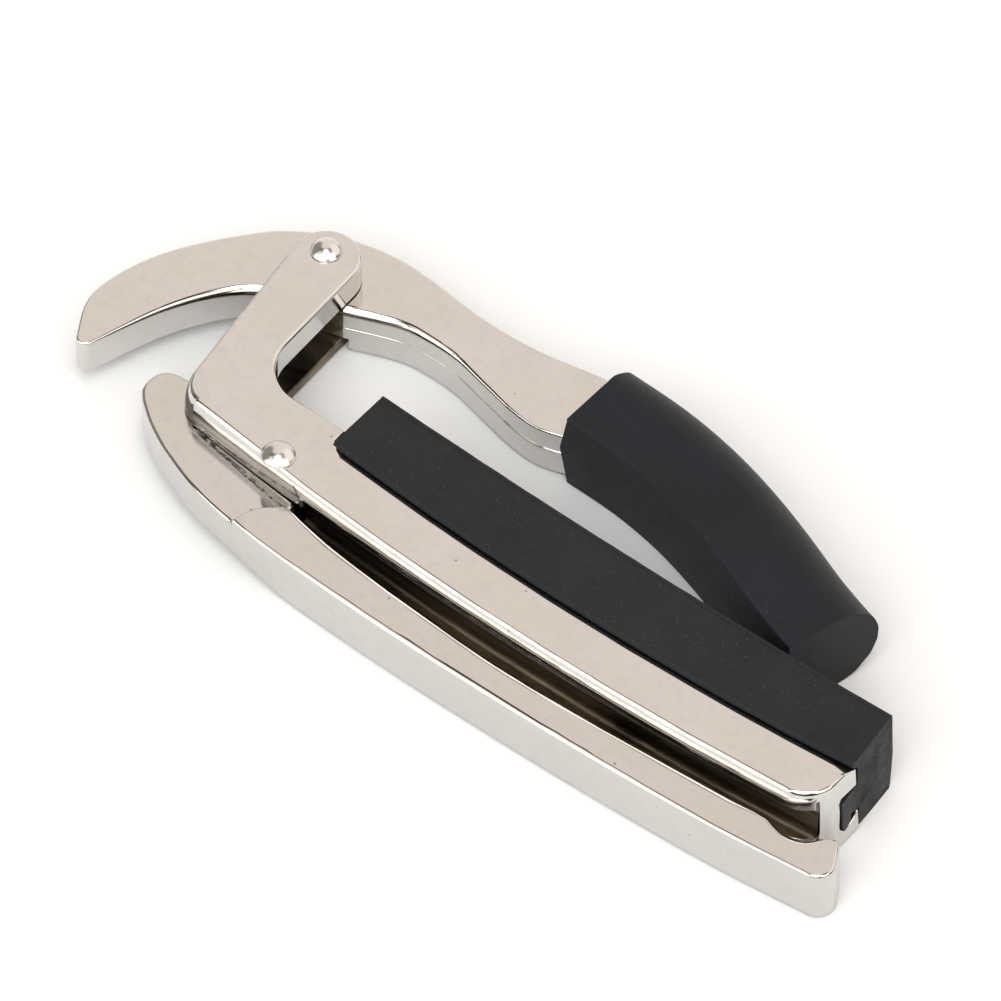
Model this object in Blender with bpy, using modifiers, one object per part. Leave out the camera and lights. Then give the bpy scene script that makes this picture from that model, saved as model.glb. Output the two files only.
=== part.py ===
"""Guitar capo with an over-centre lever, lying on its side. Metres, +Z up, +X along the bar.

Every dimension below is in millimetres and is scaled to metres where a mesh is made. Outlines are
drawn in plan around the lever's pivot, with +Y towards the neck arm. Heights start at the table.
"""

import math

import bmesh
import bpy

MM = 0.001

# The origin is under the middle of the footprint. These are the two hinge axes, seen from above.
LEVER_PIVOT = (-21.29, -11.25)
ARM_FROM_LEVER = (-12.1, 22.2)

# Heights of the castings.
FRAME_BOTTOM = 0.3
FRAME_TOP = 9.55
SLOT_BOTTOM = 1.6
SLOT_TOP = 6.2
SLOT_GAP = 0.15
TONGUE_BOTTOM = SLOT_BOTTOM + SLOT_GAP
TONGUE_TOP = SLOT_TOP - SLOT_GAP
HANDLE_TOP = 6.6
RUBBER_HEIGHT = 10.0
FIT_GAP = 0.3
CASTING_EDGE = 0.25
ABOVE_ALL = FRAME_TOP + 1
BELOW_ALL = -1

# The bar is bowed to suit a fretboard of 14 inch radius, and the pad's face is a little flatter.
BOW_RADIUS = 355.6
PAD_FACE_RADIUS = 875.0
BOW_CENTRE_X = 31.0
BAR_START_X = 3.2
BAR_END_X = 65.9
BAR_CORNER_RADIUS = 3.5
BAR_OUTER_Y = -2.75
BAR_LIP_Y = 3.6
FLANGE = 2.4
WEB_OUTER_Y = -1.3
WEB_INNER_Y = 0.8
WEB_FILLET = 0.5

# The T slot: a wide part behind the lip that holds the pad's foot, and a neck that opens to the lip.
T_SLOT_Y = (WEB_INNER_Y, BAR_LIP_Y - 0.6)
T_SLOT_Z = (1.3, 6.9)
T_NECK_Z = (2.5, 6.3)
T_CHAMFER = 0.7
LIP_SLOPE = ((1.9, FRAME_TOP), (5.3, FRAME_TOP - 1.5))

# The fork: two ears that carry both pivots.
EAR_TIP = (-11.6, 21.5)
EAR_TIP_RADIUS = 3.45
EAR_ROOT_Y = 6.3
INNER_FILLET = 4.6
HEEL = (-10.1, 2.9)
HEEL_RADIUS = 3.0
FORK_SLOT_END_X = 2.4

# Rivets. Each one stands in both ears, and its piece turns on it.
ARM_SHANK_RADIUS = 1.2
LEVER_SHANK_RADIUS = 1.0
RUNNING_GAP = 0.1
HEAD_HEIGHT = 0.9
ARM_HEAD_RADIUS = 1.6
LEVER_HEAD_RADIUS = 1.75
TAIL_RADIUS = 1.5
HEAD_GAP = 0.06

# Neck arm, and the room under its hub that the lower ear needs while the arm swings.
HUB_RELIEF_RADIUS = 5.2
SPINE_HALF_WIDTH = 2.1
SPINE_BOTTOM = 2.6
SPINE_TOP = 5.85
SPINE_LENGTH = 30.0

# Sleeve section: a flat wall towards the neck and a half-round back.
SLEEVE_DEPTH = 10.4
SLEEVE_EDGE = 0.2
SLEEVE_WALL = [(19.2, 20.3), (25.0, 20.1), (30.5, 19.3), (35.5, 18.0), (40.2, 16.4), (46.1, 14.1),
               (50.0, 12.8), (52.6, 12.05)]

# Lever.
LEVER_HUB_RADIUS = 3.2
LEVER_STEP = ((0.7, -7.1), (3.5, -2.3))
HANDLE_RAMP = ((0.0, 1.55), (8.5, FRAME_BOTTOM))
RAMP_CUT_Y = (-20, 5)
PAST_TONGUE = (-25, 12)

# Pad. Its foot stays a fit gap clear of the T slot on every side.
FOOT_Y = (T_SLOT_Y[0] + FIT_GAP, T_SLOT_Y[1] - FIT_GAP)
FOOT_Z = (T_SLOT_Z[0] + FIT_GAP, T_SLOT_Z[1] - FIT_GAP)
FOOT_CHAMFER = 0.5
NECK_Z = (T_NECK_Z[0] + FIT_GAP, T_NECK_Z[1] - FIT_GAP)
PAD_SEAT_Y = BAR_LIP_Y + FIT_GAP
PAD_TOP_LIP = ((PAD_SEAT_Y, 8.97), (2.8, 9.45))
PAD_START_X = BAR_START_X + FIT_GAP
PAD_END_X = 66.2
PAD_END_SLANT = 1.1
PAD_FACE_Y = 11.1


def clear_scene():
    for obj in list(bpy.data.objects):
        bpy.data.objects.remove(obj, do_unlink=True)


def new_collection(name, hidden=False):
    collection = bpy.data.collections.new(name)
    collection.hide_render = hidden
    bpy.context.scene.collection.children.link(collection)
    return collection


def new_material(name, colour, roughness, metallic):
    material = bpy.data.materials.new(name)
    material.use_nodes = True
    shader = material.node_tree.nodes["Principled BSDF"]
    shader.inputs["Base Color"].default_value = (*colour, 1.0)
    shader.inputs["Roughness"].default_value = roughness
    shader.inputs["Metallic"].default_value = metallic
    return material


def arc(centre, radius, start, end, steps):
    """Points round a circle, from one angle to another in degrees."""
    turns = [math.radians(start + (end - start) * i / steps) for i in range(steps + 1)]
    return [(centre[0] + radius * math.cos(a), centre[1] + radius * math.sin(a)) for a in turns]


def smooth(points, steps=4):
    """A Catmull-Rom curve through the points, which are its ends too."""
    points = [tuple(p) for p in points]
    padded = [points[0]] + points + [points[-1]]
    curve = []
    for a, b, c, d in zip(padded, padded[1:], padded[2:], padded[3:]):
        for i in range(steps):
            t = i / steps
            curve.append(tuple(
                q + 0.5 * t * (r - p + t * (2 * p - 5 * q + 4 * r - s + t * (3 * (q - r) + s - p)))
                for p, q, r, s in zip(a, b, c, d)
            ))
    return curve + [points[-1]]


def bow(x, radius=BOW_RADIUS):
    """How far the bowed bar leans towards the neck at x."""
    return (x - BOW_CENTRE_X) ** 2 / (2 * radius)


def stations(start, end, steps):
    return [start + (end - start) * i / steps for i in range(steps + 1)]


def place(obj, pivot, collection):
    """Puts an object whose mesh is drawn around this point of the plan at that point."""
    obj.location = ((LEVER_PIVOT[0] + pivot[0]) * MM, (LEVER_PIVOT[1] + pivot[1]) * MM, 0)
    collection.objects.link(obj)
    if collection.hide_render:
        obj.hide_render = True
        obj.display_type = "WIRE"
    return obj


def plate(name, outline, low, high, collection, pivot=(0, 0)):
    """A flat outline, from a 2D curve, made a mesh between two heights."""
    curve = bpy.data.curves.new(name, "CURVE")
    curve.dimensions = "2D"
    curve.fill_mode = "BOTH"
    curve.extrude = (high - low) / 2 * MM
    spline = curve.splines.new("POLY")
    spline.points.add(len(outline) - 1)
    for point, (x, y) in zip(spline.points, outline):
        point.co = ((x - pivot[0]) * MM, (y - pivot[1]) * MM, 0, 1)
    spline.use_cyclic_u = True
    guide = bpy.data.objects.new(name + "_outline", curve)
    guide.location.z = (low + high) / 2 * MM
    bpy.context.scene.collection.objects.link(guide)
    bpy.context.view_layer.update()
    mesh = bpy.data.meshes.new_from_object(guide.evaluated_get(bpy.context.evaluated_depsgraph_get()))
    mesh.transform(guide.matrix_world)
    bpy.data.objects.remove(guide, do_unlink=True)
    mesh.name = name
    shape = bmesh.new()
    shape.from_mesh(mesh)
    bmesh.ops.remove_doubles(shape, verts=shape.verts, dist=1e-6)
    bmesh.ops.recalc_face_normals(shape, faces=shape.faces)
    bmesh.ops.dissolve_limit(shape, angle_limit=0.001, verts=shape.verts, edges=shape.edges)
    shape.to_mesh(mesh)
    shape.free()
    return place(bpy.data.objects.new(name, mesh), pivot, collection)


def loft(name, sections, collection, pivot=(0, 0)):
    """A closed solid through sections of equal point counts, each a list of (x, y, z)."""
    shape = bmesh.new()
    rings = [
        [shape.verts.new(((x - pivot[0]) * MM, (y - pivot[1]) * MM, z * MM)) for x, y, z in section]
        for section in sections
    ]
    shape.faces.new(rings[0])
    shape.faces.new(list(reversed(rings[-1])))
    for first, second in zip(rings, rings[1:]):
        for i in range(len(first)):
            shape.faces.new((first[i - 1], second[i - 1], second[i], first[i]))
    bmesh.ops.recalc_face_normals(shape, faces=shape.faces)
    mesh = bpy.data.meshes.new(name)
    shape.to_mesh(mesh)
    shape.free()
    return place(bpy.data.objects.new(name, mesh), pivot, collection)


def disc(name, centre, radius, low, high, collection, sides=32):
    """An upright cylinder."""
    shape = bmesh.new()
    size = {"radius1": radius * MM, "radius2": radius * MM, "depth": (high - low) * MM}
    bmesh.ops.create_cone(shape, cap_ends=True, segments=sides, **size)
    bmesh.ops.translate(shape, verts=shape.verts, vec=(0, 0, (low + high) / 2 * MM))
    mesh = bpy.data.meshes.new(name)
    shape.to_mesh(mesh)
    shape.free()
    return place(bpy.data.objects.new(name, mesh), centre, collection)


def turned(name, profile, centre, collection, steps=28):
    """A body turned about an upright axis, from a profile of (radius, height) that starts at the top."""
    mesh = bpy.data.meshes.new(name)
    edges = [(i, i + 1) for i in range(len(profile) - 1)]
    mesh.from_pydata([(r * MM, 0, z * MM) for r, z in profile], edges, [])
    obj = place(bpy.data.objects.new(name, mesh), centre, collection)
    screw = obj.modifiers.new("turn", "SCREW")
    screw.steps = steps
    screw.render_steps = steps
    screw.use_merge_vertices = True
    screw.merge_threshold = 1e-6
    return obj


def soften(obj, width=CASTING_EDGE):
    bevel = obj.modifiers.new("edge", "BEVEL")
    bevel.width = width * MM
    bevel.segments = 1
    bevel.limit_method = "ANGLE"
    bevel.angle_limit = math.radians(50)


def combine(obj, other, operation="DIFFERENCE"):
    boolean = obj.modifiers.new(other.name, "BOOLEAN")
    boolean.operation = operation
    boolean.object = other
    boolean.solver = "EXACT"


def finish(obj, material, shade_angle=40):
    obj.data.materials.append(material)
    obj.data.shade_smooth()
    obj.data.set_sharp_from_angle(angle=math.radians(shade_angle))


def frame_outline():
    left = HEEL[0] - 0.3
    right = BAR_END_X - BAR_CORNER_RADIUS
    corner = (right, BAR_OUTER_Y + bow(right) + BAR_CORNER_RADIUS)
    outer = [(x, BAR_OUTER_Y + bow(x)) for x in stations(left, right, 14)]
    lip = [(x, BAR_LIP_Y + bow(x)) for x in stations(BAR_END_X, BAR_START_X, 12)]
    fillet = (BAR_START_X - 6.5, EAR_ROOT_Y + INNER_FILLET)
    return (
        outer
        + arc(corner, BAR_CORNER_RADIUS, -80, 0, 6)
        + lip
        + [(BAR_START_X, EAR_ROOT_Y)]
        + arc(fillet, INNER_FILLET, 270, 180, 7)
        + arc(EAR_TIP, EAR_TIP_RADIUS, 0, 180, 14)
        + arc(HEEL, HEEL_RADIUS, 180, 255, 6)
    )


def along_bar(section, start, end, steps=12):
    """The bar's bowed run of a section given as (y, z), where y is measured from the bow."""
    return [[(x, y + bow(x), z) for y, z in section] for x in stations(start, end, steps)]


def make_frame(parts, cutters, material):
    """One casting: the fork's two ears and the bar, an I section with a T slot for the pad."""
    frame = plate("frame", frame_outline(), FRAME_BOTTOM, FRAME_TOP, parts)
    soften(frame)
    fork_box = [(-20, -6), (FORK_SLOT_END_X, -6), (FORK_SLOT_END_X, 30), (-20, 30)]
    past_end = BAR_END_X + 2
    channel_floor = FRAME_BOTTOM + FLANGE
    channel_roof = FRAME_TOP - FLANGE
    outside = BAR_OUTER_Y - 3
    channel = [
        (outside, channel_floor),
        (WEB_OUTER_Y - WEB_FILLET, channel_floor),
        (WEB_OUTER_Y, channel_floor + WEB_FILLET),
        (WEB_OUTER_Y, channel_roof - WEB_FILLET),
        (WEB_OUTER_Y - WEB_FILLET, channel_roof),
        (outside, channel_roof),
    ]
    (back, front), (low, high), (neck_low, neck_high) = T_SLOT_Y, T_SLOT_Z, T_NECK_Z
    before_lip = BAR_LIP_Y + 2
    pad_slot = [
        (back, low + T_CHAMFER),
        (back + T_CHAMFER, low),
        (front, low),
        (front, neck_low),
        (before_lip, neck_low),
        (before_lip, neck_high),
        (front, neck_high),
        (front, high),
        (back + T_CHAMFER, high),
        (back, high - T_CHAMFER),
    ]
    (slope_y, slope_z), (low_y, low_z) = LIP_SLOPE
    lip_slope = [(slope_y, slope_z), (low_y, low_z), (low_y, ABOVE_ALL), (slope_y, ABOVE_ALL)]
    combine(frame, plate("cut_fork_slot", fork_box, SLOT_BOTTOM, SLOT_TOP, cutters))
    combine(frame, disc("cut_lever_room", (0, 0), LEVER_HUB_RADIUS + 0.4, SLOT_BOTTOM, SLOT_TOP, cutters))
    combine(frame, loft("cut_channel", along_bar(channel, FORK_SLOT_END_X - 0.5, past_end), cutters))
    combine(frame, loft("cut_pad_slot", along_bar(pad_slot, BAR_START_X, past_end), cutters))
    combine(frame, loft("cut_lip_slope", along_bar(lip_slope, BAR_START_X, past_end), cutters))
    for name, centre, radius in (
        ("cut_arm_pin", ARM_FROM_LEVER, ARM_SHANK_RADIUS),
        ("cut_lever_pin", (0, 0), LEVER_SHANK_RADIUS),
    ):
        combine(frame, disc(name, centre, radius + RUNNING_GAP, BELOW_ALL, ABOVE_ALL, cutters, sides=28))
    finish(frame, material)


def arm_outline():
    """The claw on the left, the hub, and the shoulder that the sleeve meets on the right."""
    claw_inside = smooth([(-24.4, 1.2), (-21.4, 9.2), (-17.8, 14.8), (-14.3, 17.4), (-11.0, 18.7),
                          (-7.9, 19.6)])
    neck_inside = smooth([(-7.9, 19.6), (-2.8, 21.6), (0.2, 22.0), (3.9, 21.9), (7.8, 21.1), (12.3, 20.2),
                          (15.6, 20.1), (18.9, 21.1)])
    shoulder = smooth([(18.9, 27.6), (18.3, 28.5), (16.8, 28.9)], 3)
    back = smooth([(16.8, 28.9), (9.7, 27.7), (3.2, 27.5), (-3.7, 28.2), (-8.9, 28.2), (-14.3, 26.8),
                   (-18.8, 24.1), (-21.9, 20.7), (-25.2, 16.0), (-27.2, 11.6), (-28.1, 7.3), (-27.7, 4.5),
                   (-26.0, 1.3)])
    tip = arc((-25.2, 1.75), 0.95, 205, 320, 4)
    return claw_inside[:-1] + neck_inside + shoulder[:-1] + back[:-1] + tip


def along_wall(wall_offset, reach):
    """Points at one distance behind the sleeve's wall, with their outward directions."""
    wall = smooth(SLEEVE_WALL, 3)
    found = []
    travelled = 0.0
    for i, (x, y) in enumerate(wall):
        before = wall[max(i - 1, 0)]
        after = wall[min(i + 1, len(wall) - 1)]
        travelled += math.dist(before, (x, y))
        if travelled > reach:
            break
        length = math.dist(before, after)
        out = ((before[1] - after[1]) / length, (after[0] - before[0]) / length)
        found.append(((x + out[0] * wall_offset, y + out[1] * wall_offset), out))
    return found


def spine_outline(grow):
    """The arm's narrow spine, which the sleeve is pushed over."""
    middle = along_wall(SLEEVE_DEPTH / 2 - 0.4, SPINE_LENGTH + grow)
    width = SPINE_HALF_WIDTH + grow
    near = [(x - out[0] * width, y - out[1] * width) for (x, y), out in middle]
    far = [(x + out[0] * width, y + out[1] * width) for (x, y), out in middle]
    start = SLEEVE_WALL[0][0] - 4
    return [(start, near[0][1])] + near + list(reversed(far)) + [(start, far[0][1])]


def make_neck_arm(parts, cutters, material):
    """One casting: claw, hub and arm. Its hub is a tongue that fills the fork's slot."""
    pivot = ARM_FROM_LEVER
    arm = plate("neck_arm", arm_outline(), FRAME_BOTTOM, TONGUE_TOP, parts, pivot)
    soften(arm)
    claw_side = [(-35, -5), (pivot[0], -5), (pivot[0], 35), (-35, 35)]
    relief = disc("cut_hub_relief", pivot, HUB_RELIEF_RADIUS, BELOW_ALL, TONGUE_BOTTOM, cutters, sides=40)
    combine(arm, relief)
    combine(arm, plate("cut_claw_relief", claw_side, BELOW_ALL, TONGUE_BOTTOM, cutters, pivot))
    combine(arm, plate("join_spine", spine_outline(0), SPINE_BOTTOM, SPINE_TOP, cutters, pivot), "UNION")
    hub_radius = ARM_SHANK_RADIUS + RUNNING_GAP
    combine(arm, disc("cut_arm_hub", pivot, hub_radius, BELOW_ALL, ABOVE_ALL, cutters, sides=28))
    finish(arm, material)


def sleeve_section(base, out):
    """The D section that stands on the wall at base, as points round it."""
    half = RUBBER_HEIGHT / 2
    edge = SLEEVE_EDGE
    back = SLEEVE_DEPTH - half
    flat = [(edge, RUBBER_HEIGHT), (0, RUBBER_HEIGHT - edge), (0, edge), (edge, 0), (back, 0)]
    round_back = [(depth, height + half) for depth, height in arc((back, 0), half, -90, 90, 12)]
    profile = flat + round_back[1:]
    return [(base[0] + out[0] * depth, base[1] + out[1] * depth, height) for depth, height in profile]


def make_sleeve(parts, cutters, material):
    """A moulded rubber sleeve with a blind bore, pushed over the arm's spine."""
    pivot = ARM_FROM_LEVER
    sections = [sleeve_section(base, out) for base, out in along_wall(0, math.inf)]
    sleeve = loft("neck_sleeve", sections, parts, pivot)
    bore = plate(
        "cut_sleeve_bore", spine_outline(FIT_GAP), SPINE_BOTTOM - FIT_GAP, SPINE_TOP + FIT_GAP, cutters, pivot
    )
    combine(sleeve, bore)
    finish(sleeve, material)


def lever_outline():
    nose = smooth([(-14.4, 3.8), (-15.8, 3.6), (-16.8, 2.9), (-17.2, 1.6), (-17.0, 0.2), (-16.1, -0.9)], 2)
    outside = smooth([(-16.1, -0.9), (-13.8, -2.6), (-10.5, -4.3), (-5.4, -6.1), (0.7, -7.2), (8.0, -7.8),
                      (22.0, -8.2), (40.0, -8.0), (57.2, -7.2), (68.8, -6.0)])
    end = arc((68.9, -4.2), 1.8, -80, 20, 5)
    notch = smooth([(69.4, -1.5), (68.5, -1.0), (67.4, -1.5), (66.2, -2.6), (65.0, -3.1), (63.6, -3.1),
                    (62.0, -2.8)], 2)
    inside = smooth([(62.0, -2.8), (54.2, -3.4), (42.0, -4.2), (31.0, -4.6), (20.4, -4.2), (12.2, -3.6),
                     (6.0, -2.9), (3.6, -2.5)])
    hub = arc((0, 0), LEVER_HUB_RADIUS, -18, 70, 7)
    return nose[:-1] + outside + end + notch[:-1] + inside + hub + [(-3.0, 3.6), (-9.0, 3.9)]


def make_lever(parts, cutters, material):
    """One casting: the nose and hub are a tongue in the fork's slot, and the handle is thicker."""
    lever = plate("lever", lever_outline(), FRAME_BOTTOM, HANDLE_TOP, parts)
    soften(lever)
    (x0, y0), (x1, y1) = LEVER_STEP
    outer_end = (2 * x0 - x1, 2 * y0 - y1)
    inner_end = (2 * x1 - x0, 2 * y1 - y0)
    before_step = [outer_end, inner_end, (x1, PAST_TONGUE[1]), PAST_TONGUE, (PAST_TONGUE[0], outer_end[1])]
    combine(lever, plate("cut_above_tongue", before_step, TONGUE_TOP, ABOVE_ALL, cutters))
    combine(lever, plate("cut_below_tongue", before_step, BELOW_ALL, TONGUE_BOTTOM, cutters))
    (ramp_x, ramp_z), (flat_x, flat_z) = HANDLE_RAMP
    ramp = [
        [(ramp_x, y, BELOW_ALL), (ramp_x, y, ramp_z), (flat_x, y, flat_z), (flat_x, y, BELOW_ALL)]
        for y in RAMP_CUT_Y
    ]
    combine(lever, loft("cut_ramp", ramp, cutters))
    hub_radius = LEVER_SHANK_RADIUS + RUNNING_GAP
    combine(lever, disc("cut_lever_hub", (0, 0), hub_radius, BELOW_ALL, ABOVE_ALL, cutters, sides=28))
    finish(lever, material)


def make_rivet(name, centre, shank, head, parts, material):
    """A rivet with a low domed head on top and a flat tail below."""
    ball = (head ** 2 + HEAD_HEIGHT ** 2) / (2 * HEAD_HEIGHT)
    rim = math.degrees(math.asin(head / ball))
    seat = FRAME_TOP + HEAD_GAP
    dome = [(ball * math.sin(math.radians(a)), seat + HEAD_HEIGHT - ball + ball * math.cos(math.radians(a)))
            for a in stations(0, rim, 6)]
    tail_top = FRAME_BOTTOM - HEAD_GAP
    shaft = [(shank, seat), (shank, tail_top), (TAIL_RADIUS, tail_top), (TAIL_RADIUS - 0.2, 0), (0, 0)]
    finish(turned(name, dome + shaft, centre, parts), material)


def make_pad(parts, material):
    """An extruded rubber pad. Its foot fills the bar's T slot and its face is slightly hollow."""
    (foot_back, foot_front), (foot_low, foot_high) = FOOT_Y, FOOT_Z
    sections = []
    for x in stations(PAD_START_X, PAD_END_X, 15):
        face = PAD_FACE_Y + bow(x, PAD_FACE_RADIUS) - bow(x)
        profile = [
            (face, RUBBER_HEIGHT),
            (face, 0),
            (PAD_SEAT_Y, 0),
            (PAD_SEAT_Y, NECK_Z[0]),
            (foot_front, NECK_Z[0]),
            (foot_front, foot_low),
            (foot_back + FOOT_CHAMFER, foot_low),
            (foot_back, foot_low + FOOT_CHAMFER),
            (foot_back, foot_high - FOOT_CHAMFER),
            (foot_back + FOOT_CHAMFER, foot_high),
            (foot_front, foot_high),
            (foot_front, NECK_Z[1]),
            (PAD_SEAT_Y, NECK_Z[1]),
            *PAD_TOP_LIP,
            (PAD_TOP_LIP[1][0], RUBBER_HEIGHT),
        ]
        slant = PAD_END_SLANT * max(0.0, (x - PAD_END_X + 6) / 6)
        sections.append([(x - slant * y / PAD_FACE_Y, y + bow(x), z) for y, z in profile])
    finish(loft("fret_pad", sections, parts), material)


def main():
    clear_scene()
    parts = new_collection("guitar_capo")
    cutters = new_collection("cutters", hidden=True)
    nickel = {name: new_material(name, (0.78, 0.74, 0.70), 0.16, 1.0) for name in (
        "frame_nickel", "arm_nickel", "lever_nickel")}
    make_frame(parts, cutters, nickel["frame_nickel"])
    make_neck_arm(parts, cutters, nickel["arm_nickel"])
    make_lever(parts, cutters, nickel["lever_nickel"])
    rivet_steel = new_material("rivet_steel", (0.80, 0.78, 0.75), 0.12, 1.0)
    make_rivet("arm_rivet", ARM_FROM_LEVER, ARM_SHANK_RADIUS, ARM_HEAD_RADIUS, parts, rivet_steel)
    make_rivet("lever_rivet", (0, 0), LEVER_SHANK_RADIUS, LEVER_HEAD_RADIUS, parts, rivet_steel)
    make_pad(parts, new_material("pad_rubber", (0.035, 0.035, 0.036), 0.8, 0.0))
    make_sleeve(parts, cutters, new_material("sleeve_rubber", (0.025, 0.025, 0.027), 0.55, 0.0))


main()
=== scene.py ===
"""Guitar capo: the looks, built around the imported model. Sizes are in millimetres until a mesh is made."""

import math

import bmesh
import bpy
from mathutils import Matrix, Vector, noise

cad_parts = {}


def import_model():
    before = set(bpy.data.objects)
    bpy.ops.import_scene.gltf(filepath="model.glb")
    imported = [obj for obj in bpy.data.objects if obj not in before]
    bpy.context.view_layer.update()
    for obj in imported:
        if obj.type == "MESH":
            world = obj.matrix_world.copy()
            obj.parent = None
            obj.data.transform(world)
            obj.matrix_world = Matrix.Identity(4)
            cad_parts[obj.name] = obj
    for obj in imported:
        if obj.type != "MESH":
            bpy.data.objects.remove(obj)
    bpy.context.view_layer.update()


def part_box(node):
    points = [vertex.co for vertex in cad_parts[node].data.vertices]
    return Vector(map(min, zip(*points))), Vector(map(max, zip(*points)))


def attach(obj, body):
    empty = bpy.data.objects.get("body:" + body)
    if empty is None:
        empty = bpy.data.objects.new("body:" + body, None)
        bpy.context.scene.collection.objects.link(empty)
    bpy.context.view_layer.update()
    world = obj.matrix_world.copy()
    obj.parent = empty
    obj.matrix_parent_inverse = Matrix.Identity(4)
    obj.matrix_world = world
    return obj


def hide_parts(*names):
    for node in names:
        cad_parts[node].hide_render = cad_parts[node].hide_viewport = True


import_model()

MM = 0.001

# The plan is drawn around the lever's rivet, whose place is read from the frame, and +Y is towards the arm.
LEVER_LOW, LEVER_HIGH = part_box("lever_rivet")
PIVOT = ((LEVER_LOW.x + LEVER_HIGH.x) / 2 / MM, (LEVER_LOW.y + LEVER_HIGH.y) / 2 / MM)
ARM_PIVOT = (-12.1, 22.2)

# Heights.
FRAME_BOTTOM = 0.3
FRAME_TOP = 9.55
SLOT_BOTTOM = 1.6
SLOT_TOP = 6.2
TONGUE_BOTTOM = 1.75
TONGUE_TOP = 6.05
HANDLE_TOP = 6.5
RUBBER_HEIGHT = 10.0
FLANGE = 2.4

# The bowed bar.
BOW_RADIUS = 355.6
PAD_FACE_RADIUS = 875.0
BOW_CENTRE_X = 31.0
BAR_START_X = 3.2
BAR_END_X = 65.9
BAR_END_LEAN = 0.55
BAR_CORNER_RADIUS = 3.5
BAR_OUTER_Y = -2.75
BAR_LIP_Y = 3.6
WEB_OUTER_Y = -1.3
WEB_INNER_Y = 0.8
FORK_SLOT_END_X = 2.4
LEVER_ROOM = 3.6
CHANNEL_RISE = 7.0
CHANNEL_FILLET = 0.8
PAST_BAR_X = BAR_END_X + 2

# The fall of the bar's top towards the pad, from Y to Y and over a short ramp in X.
FALL_START_Y = 1.9
FALL_END_Y = 5.3
FALL = 1.5
FALL_RAMP = 1.4

# The slot that the pad's foot fills.
FOOT_RADIUS = 1.1
FOOT_Z = 2.9
LIP_THICKNESS = 0.6
LIP_TOP_Z = 2.2
PAD_SLOT_ROOF = 6.4

# The ears.
EAR_TIP = (-11.6, 21.5)
EAR_TIP_RADIUS = 3.45
EAR_ROOT_Y = 6.3
INNER_FILLET = 4.6
HEEL = (-10.1, 2.9)
HEEL_RADIUS = 3.0

# Rounds on the castings, as (width, depth) where they aren't circular.
EDGE = 0.42
FRONT_EXTRA = (0.2, 1.3)
HEEL_EXTRA = (0.25, 1.4)
NOTCH_EXTRA = (0.45, 0.9)
INSIDE_EXTRA = (0.55, 0.08)
ARM_EDGE = 0.24
HUB_EXTRA = 0.75
EASE = 0.12
EASE_SEGMENTS = 3

# Clean-up of cuts: points this near are one, and faces this flat are one.
WELD_GAP = 0.012
SLIVER = 0.005
FLAT_ANGLE = 0.4

# The angles, in degrees, from which an edge looks sharp.
SHARP_METAL = 50
SHARP_RIVET = 40
SHARP_RUBBER = 35

# The arm.
HUB_RADIUS = 7
HUB_RELIEF = 5.2
CLAW_REACH = 16
NECK_REACH = 20
SEAM_Z = 3.4

# The lever.
RAMP_START_X = -1
RAMP_LENGTH = 9

# Rivets: (shank, head) radii.
ARM_RIVET = (1.2, 1.6)
LEVER_RIVET = (1.0, 1.75)
RIVET_DOME = 0.9
RIVET_TAIL = 1.5

# The pad and the sleeve.
PAD_START_X = BAR_START_X + 0.3
PAD_END_X = 66.2
PAD_DEPTH = 11.1
PAD_STEPS = 120
SLEEVE_DEPTH = 10.4
MOUTH_LENGTH = 3.0

# A long lens, turned to where the capo lies on its side with the jaw away from the viewer.
AZIMUTH = 38.8
ELEVATION = 52.0
FIELD_OF_VIEW = 2.0
PICTURE_WIDTH = 95.33
AIM_RIGHT = 21.14
AIM_UP = -4.38


# ---------------------------------------------------------------- shapes

def arc(centre, radius, start, end, steps):
    """Points round a circle, from one angle to another in degrees."""
    turns = [math.radians(start + (end - start) * i / steps) for i in range(steps + 1)]
    return [(centre[0] + radius * math.cos(a), centre[1] + radius * math.sin(a)) for a in turns]


def smooth(points, steps=8):
    """A Catmull-Rom curve through the points, which are its ends too."""
    points = [tuple(p) for p in points]
    padded = [points[0]] + points + [points[-1]]
    curve = []
    for a, b, c, d in zip(padded, padded[1:], padded[2:], padded[3:]):
        for i in range(steps):
            t = i / steps
            curve.append(tuple(
                q + 0.5 * t * (r - p + t * (2 * p - 5 * q + 4 * r - s + t * (3 * (q - r) + s - p)))
                for p, q, r, s in zip(a, b, c, d)
            ))
    return curve + [points[-1]]


def held(value):
    """The value, held between 0 and 1."""
    return max(0.0, min(1.0, value))


def bow(x, radius=BOW_RADIUS):
    """How far the bowed bar leans towards the neck at x."""
    return (x - BOW_CENTRE_X) ** 2 / (2 * radius)


def stations(start, end, steps):
    return [start + (end - start) * i / steps for i in range(steps + 1)]


def world(x, y, z):
    return ((PIVOT[0] + x) * MM, (PIVOT[1] + y) * MM, z * MM)


def new_object(name, mesh):
    obj = bpy.data.objects.new(name, mesh)
    bpy.context.scene.collection.objects.link(obj)
    return obj


def mesh_from(name, shape):
    bmesh.ops.recalc_face_normals(shape, faces=shape.faces)
    mesh = bpy.data.meshes.new(name)
    shape.to_mesh(mesh)
    shape.free()
    return new_object(name, mesh)


def plate(name, outline, low, high):
    """A flat outline between two heights."""
    shape = bmesh.new()
    bottom = [shape.verts.new(world(x, y, low)) for x, y in outline]
    top = [shape.verts.new(world(x, y, high)) for x, y in outline]
    shape.faces.new(bottom)
    shape.faces.new(list(reversed(top)))
    for i in range(len(outline)):
        shape.faces.new((bottom[i - 1], bottom[i], top[i], top[i - 1]))
    return mesh_from(name, shape)


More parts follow.
